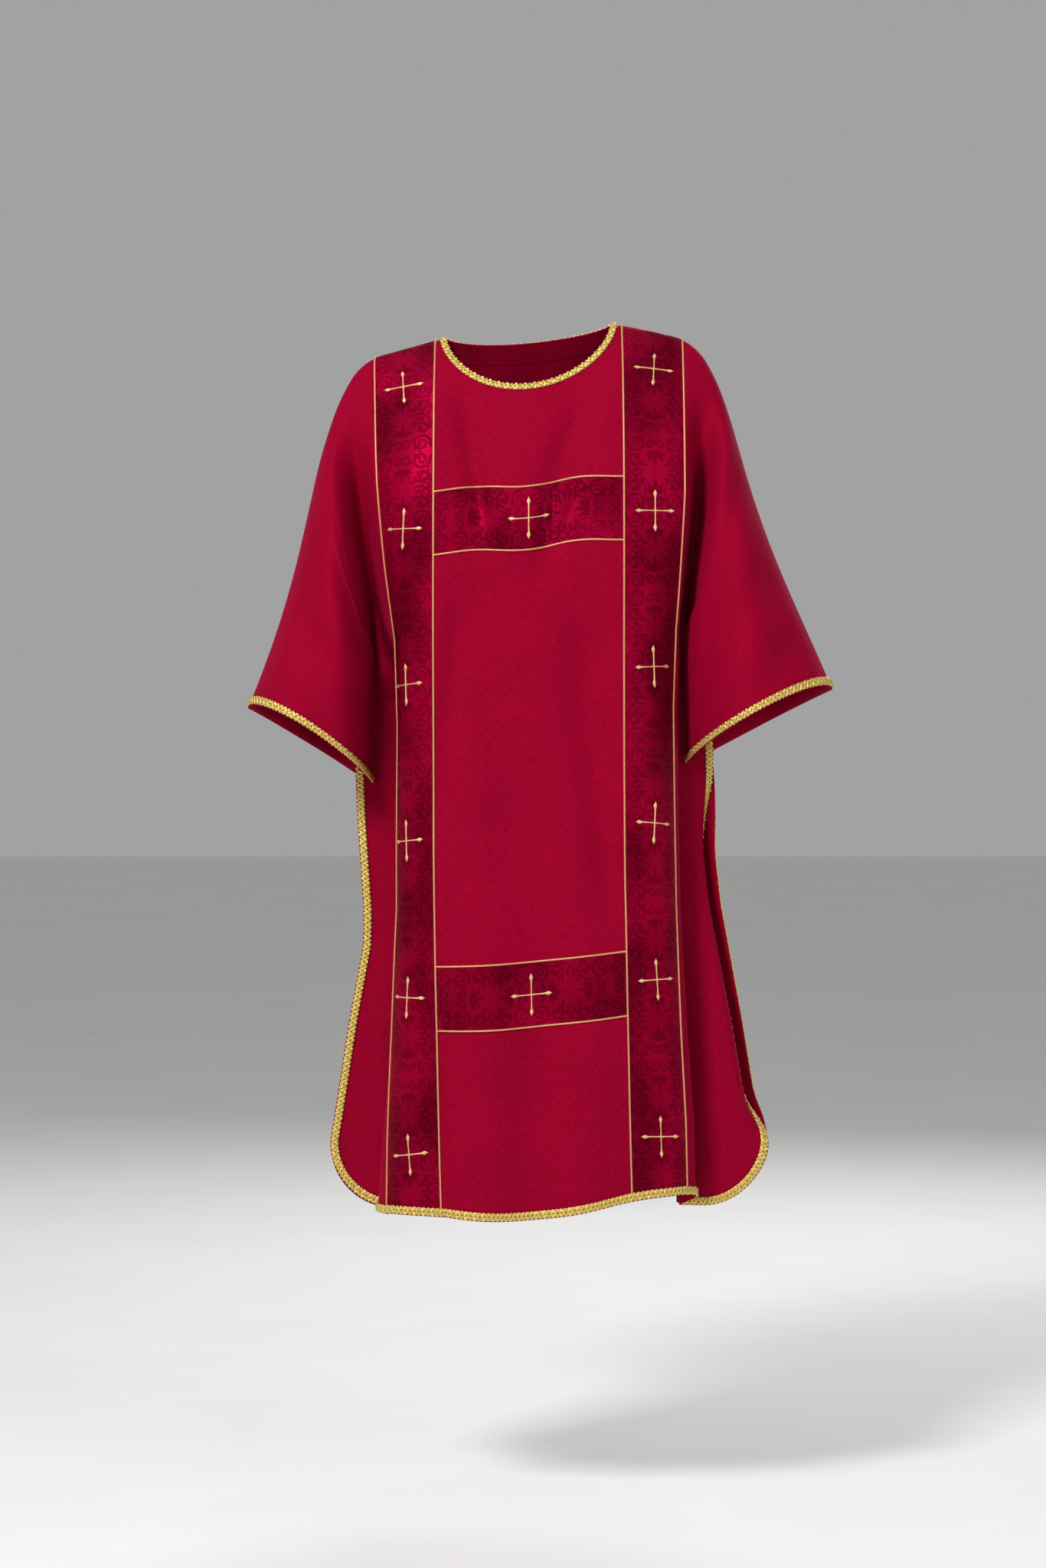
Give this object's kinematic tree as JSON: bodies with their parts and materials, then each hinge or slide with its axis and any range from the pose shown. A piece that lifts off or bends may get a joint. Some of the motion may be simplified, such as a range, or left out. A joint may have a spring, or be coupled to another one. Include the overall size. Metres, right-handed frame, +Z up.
{
  "type": "liturgical dalmatic",
  "caption": "T-shaped deacon's vestment with wide hanging sleeves, open sides, vertical satin bands joined by cross bands, embroidered crosses and gold edge braid.",
  "frame": {"origin": "midway between the two points where the neckline meets the shoulder folds", "axes": "+Z up, the front faces -Y, +X towards the right hand of someone looking at the front"},
  "size_m": [0.7493, 0.265, 1.1623],
  "materials": {
    "cloth": "matt fine weave, crimson",
    "satin": "damask satin, scrolls in a darker matt weave, crimson",
    "cord": "twisted silky cord, pinkish gold",
    "embroidery": "satin stitch, pale gold",
    "braid": "metallic gimp braid, gold",
    "facing": "matt fine weave, crimson"
  },
  "bodies": {
    "garment": {"front_panel": "cloth", "front_left_clavus": "satin", "front_left_inner_cord": "cord", "front_left_outer_cord": "cord", "front_left_crosses": "embroidery", "front_right_clavus": "satin", "front_right_inner_cord": "cord", "front_right_outer_cord": "cord", "front_right_crosses": "embroidery", "front_upper_band": "satin", "front_upper_top_cord": "cord", "front_upper_bottom_cord": "cord", "front_upper_cross": "embroidery", "front_lower_band": "satin", "front_lower_top_cord": "cord", "front_lower_bottom_cord": "cord", "front_lower_cross": "embroidery", "front_edge_braid": "braid", "back_panel": "cloth", "back_left_clavus": "satin", "back_left_inner_cord": "cord", "back_left_outer_cord": "cord", "back_left_crosses": "embroidery", "back_right_clavus": "satin", "back_right_inner_cord": "cord", "back_right_outer_cord": "cord", "back_right_crosses": "embroidery", "back_upper_band": "satin", "back_upper_top_cord": "cord", "back_upper_bottom_cord": "cord", "back_upper_cross": "embroidery", "back_lower_band": "satin", "back_lower_top_cord": "cord", "back_lower_bottom_cord": "cord", "back_lower_cross": "embroidery", "back_edge_braid": "braid", "neck_braid": "braid", "neck_facing": "facing"},
    "left_arm": {"left_sleeve": "cloth", "left_cuff_braid": "braid"},
    "right_arm": {"right_sleeve": "cloth", "right_cuff_braid": "braid"}
  },
  "joints": [
    {"name": "left_sleeve_lift", "type": "hinge", "parent": "garment", "child": "left_arm", "pos_m": [-0.2, 0, -0.042], "axis": [0, 1, 0], "range_deg": [0, 25]},
    {"name": "right_sleeve_lift", "type": "hinge", "parent": "garment", "child": "right_arm", "pos_m": [0.2, 0, -0.018], "axis": [0, -1, 0], "range_deg": [0, 25]}
  ]
}
